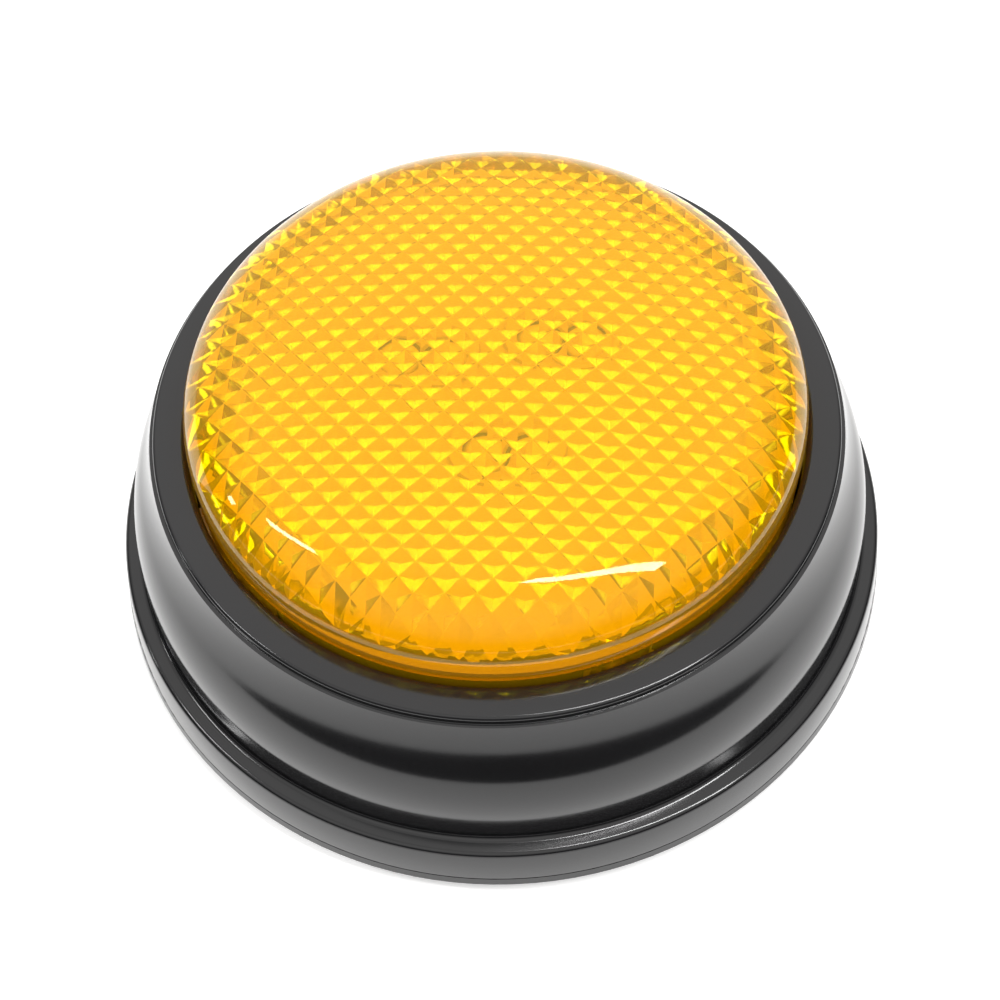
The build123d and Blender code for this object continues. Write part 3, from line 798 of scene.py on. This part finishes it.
class Insides:
    """Construction nodes whose shape is right and which only need a finish."""

    finishes = {
        GLOSS_BLACK: ("bottom_cover", "battery_door"),
        WHITE: ("press_plate",),
        RUBBER: ("rubber_foot_1", "rubber_foot_2", "rubber_foot_3", "rubber_foot_4"),
        STEEL: ("base_screws", "board_screws", "door_screw"),
        NICKEL: ("contact_positive", "contact_negative", "contact_bridge", "switch_pins"),
        BOARD: ("circuit_board",),
        DARK_PART: ("switch_case", "transistor", "sound_chip", "switch_button", "speaker_ring"),
        LAMP: ("led_1", "led_2", "led_3"),
        RESISTOR: ("resistors",),
        CAN: ("capacitor",),
        BASKET: ("speaker_frame", "speaker_magnet"),
        PAPER: ("speaker_cone",),
        RED_WIRE: ("speaker_lead_red", "battery_lead_red"),
        BLACK_WIRE: ("speaker_lead_black", "battery_lead_black"),
        JACKET: ("cell_1", "cell_2"),
    }

    def build(self) -> None:
        """Give every such node its finish."""
        for finish, nodes in self.finishes.items():
            for node in nodes:
                PAINT.coat(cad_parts[node], finish)
                LOG.info("%s: %s", node, finish.name)


# ------------------------------------------------------------------ studio
@dataclass
class Studio:
    """Pale floor, soft lamps, white surroundings and the camera. Sizes are in metres."""

    azimuth: float = 25.0
    elevation: float = 57.72
    distance: float = 0.18806
    aim_height: float = 0.0069
    roll: float = 2.66
    lamp_distance: float = 0.9
    lens: float = 57.2
    floor_size: float = 6.0
    floor_tone: float = 0.9
    floor_glow: float = 0.33
    card_tone: float = 0.03
    matt: float = 0.9
    flag_inner: float = 0.092
    flag_outer: float = 0.6
    flag_reach: float = -0.1
    front_light: float = 1.5
    band_depth: float = 0.95
    glow: float = 0.45

    def grey(self, tone: float) -> Colour:
        """Neutral colour of one tone."""
        return (tone, tone, tone, 1.0)

    def build_camera(self) -> None:
        """Place the camera on the object's axis line, turned a little about its own axis."""
        data = bpy.data.cameras.new("camera")
        data.lens = self.lens
        data.sensor_width = 36.0
        data.clip_start = 0.01
        camera = bpy.data.objects.new("camera", data)
        bpy.context.scene.collection.objects.link(camera)
        a, e = math.radians(self.azimuth), math.radians(self.elevation)
        back = Vector((math.sin(a) * math.cos(e), -math.cos(a) * math.cos(e), math.sin(e)))
        camera.location = Vector((0, 0, self.aim_height)) + back * self.distance
        turn = (-back).to_track_quat("-Z", "Y").to_matrix() @ Matrix.Rotation(
            math.radians(-self.roll), 3, "Z")
        camera.rotation_euler = turn.to_euler()
        bpy.context.scene.camera = camera

    def build_floor(self) -> None:
        """Large pale floor."""
        clear_selection()
        bpy.ops.mesh.primitive_plane_add(size=self.floor_size, location=(0, 0, -0.00002))
        floor = settle(named("floor"))
        material = bpy.data.materials.new("floor")
        material.use_nodes = True
        made = Nodes(material.node_tree)
        paper = made.add("ShaderNodeBsdfPrincipled", _Base_Color=self.grey(self.floor_tone),
                         _Roughness=self.matt, _Specular_IOR_Level=0.1,
                         _Emission_Color=self.grey(1.0), _Emission_Strength=self.floor_glow)
        side = made.add("ShaderNodeNewGeometry")
        open_below = made.add("ShaderNodeMixShader", _0=side.outputs["Backfacing"],
                              _1=paper.outputs[0], _2=made.add("ShaderNodeBsdfTransparent").outputs[0])
        made.add("ShaderNodeOutputMaterial", _Surface=open_below.outputs[0])
        floor.data.materials.append(material)

    def build_flag(self) -> None:
        """Lay a dark card outside the view, which the bulge mirrors as a dark band."""
        clear_selection()
        bpy.ops.mesh.primitive_circle_add(vertices=96, radius=self.flag_inner,
                                          location=(0, 0, 0.00003))
        flag = settle(named("flag"))
        edit_all(flag)
        bpy.ops.mesh.extrude_edges_move()
        share = self.flag_outer / self.flag_inner
        bpy.ops.transform.resize(value=(share, share, 1), center_override=(0, 0, 0))
        close_edit()
        near = self.way(0, -1, 0)
        pick_faces(flag, lambda face: face.center.normalized().dot(near) < self.flag_reach)
        bpy.ops.mesh.delete(type="FACE")
        close_edit()
        material = bpy.data.materials.new("flag")
        material.use_nodes = True
        surface = material.node_tree.nodes["Principled BSDF"]
        surface.inputs["Base Color"].default_value = self.grey(self.card_tone)
        surface.inputs["Roughness"].default_value = self.matt
        flag.data.materials.append(material)
        flag.visible_camera = False

    def way(self, right: float, away: float, up: float) -> Vector:
        """Direction in the scene for one given as the camera sees it."""
        a = math.radians(self.azimuth)
        turned = Vector((right * math.cos(a) - away * math.sin(a),
                         right * math.sin(a) + away * math.cos(a), up))
        return turned.normalized()

    def bar_lamp(self, name: str, first: Vector, last: Vector, width: float, radiance: float) -> None:
        """Add a long soft lamp that faces the object.

        Args:
            name: the lamp's name.
            first: direction of its first end.
            last: direction of its last end.
            width: how wide it looks from the object, in degrees.
            radiance: how bright it looks.
        """
        middle = (first + last).normalized()
        along = (last - first).normalized()
        along = (along - middle * along.dot(middle)).normalized()
        data = bpy.data.lights.new(name, "AREA")
        data.shape = "RECTANGLE"
        data.size = 2 * self.lamp_distance * math.tan(first.angle(last) / 2)
        data.size_y = 2 * self.lamp_distance * math.tan(math.radians(width) / 2)
        data.energy = radiance * math.pi * data.size * data.size_y
        lamp = bpy.data.objects.new(name, data)
        bpy.context.scene.collection.objects.link(lamp)
        turn = Matrix((along, middle.cross(along), middle)).transposed()
        lamp.matrix_world = Matrix.Translation(middle * self.lamp_distance) @ turn.to_4x4()

    def build_world(self) -> None:
        """White surroundings: brighter in front, dark near the horizon except behind the object,
        with a glow behind and above that the pyramids mirror. Seen straight, they are white."""
        world = bpy.data.worlds.new("studio")
        bpy.context.scene.world = world
        world.use_nodes = True
        made = Nodes(world.node_tree)
        way = made.add("ShaderNodeTexCoord").outputs["Generated"]
        parts = made.add("ShaderNodeSeparateXYZ", _Vector=way)
        a = math.radians(self.azimuth)
        towards = made.maths("ADD", made.maths("MULTIPLY", parts.outputs["X"], math.sin(a)),
                             made.maths("MULTIPLY", parts.outputs["Y"], -math.cos(a)))
        sky = made.ramp(towards, -0.2, 0.6, 1.0, self.front_light)
        band = made.ramp(parts.outputs["Z"], 0.2, 0.78, self.band_depth, 0.0)
        closed = made.ramp(towards, -0.75, -0.3)
        shade = made.maths("SUBTRACT", 1.0, made.maths("MULTIPLY", band, closed))
        facing = made.add("ShaderNodeVectorMath", operation="DOT_PRODUCT", _0=way,
                          _1=self.way(0.0, 0.56, 0.83))
        glow = made.ramp(facing.outputs["Value"], 0.8, 0.97, 0.0, self.glow)
        strength = made.maths("ADD", made.maths("MULTIPLY", sky, shade), glow)
        seen = made.add("ShaderNodeLightPath").outputs["Is Camera Ray"]
        strength = made.maths("MAXIMUM", strength, seen)
        light = made.add("ShaderNodeBackground", _Color=(1.0, 0.99, 0.98, 1), _Strength=strength)
        made.add("ShaderNodeOutputWorld", _Surface=light.outputs[0])

    def build(self) -> None:
        """Build floor, lamps, surroundings and camera."""
        self.build_floor()
        self.build_flag()
        self.bar_lamp("soft_right", self.way(0.044, 0.12, 0.99), self.way(0.535, -0.28, 0.8), 3.6, 36.0)
        self.bar_lamp("soft_left", self.way(-0.53, -0.04, 0.84), self.way(-0.72, 0.03, 0.69), 2.8, 36.0)
        self.bar_lamp("side_left", self.way(-0.9, 0.08, 0.42), self.way(-0.93, 0.08, 0.34), 2.5, 22.0)
        self.build_world()
        self.build_camera()
        bpy.context.scene.view_settings.view_transform = "Standard"


def main() -> None:
    """Build the studio and every part of the buzzer, in order."""
    logging.basicConfig(level=logging.INFO, format="%(message)s")
    build_effects()
    Studio().build()
    springs = [Spring(f"return_spring_{i + 1}", 120.0 * i) for i in range(3)]
    for part in (BlackHousing(), AmberDome(), *springs):
        piece = part.build()
        LOG.info("%s: %d faces", piece.name, len(piece.data.polygons))
    Insides().build()


if __name__ == "__main__":
    main()
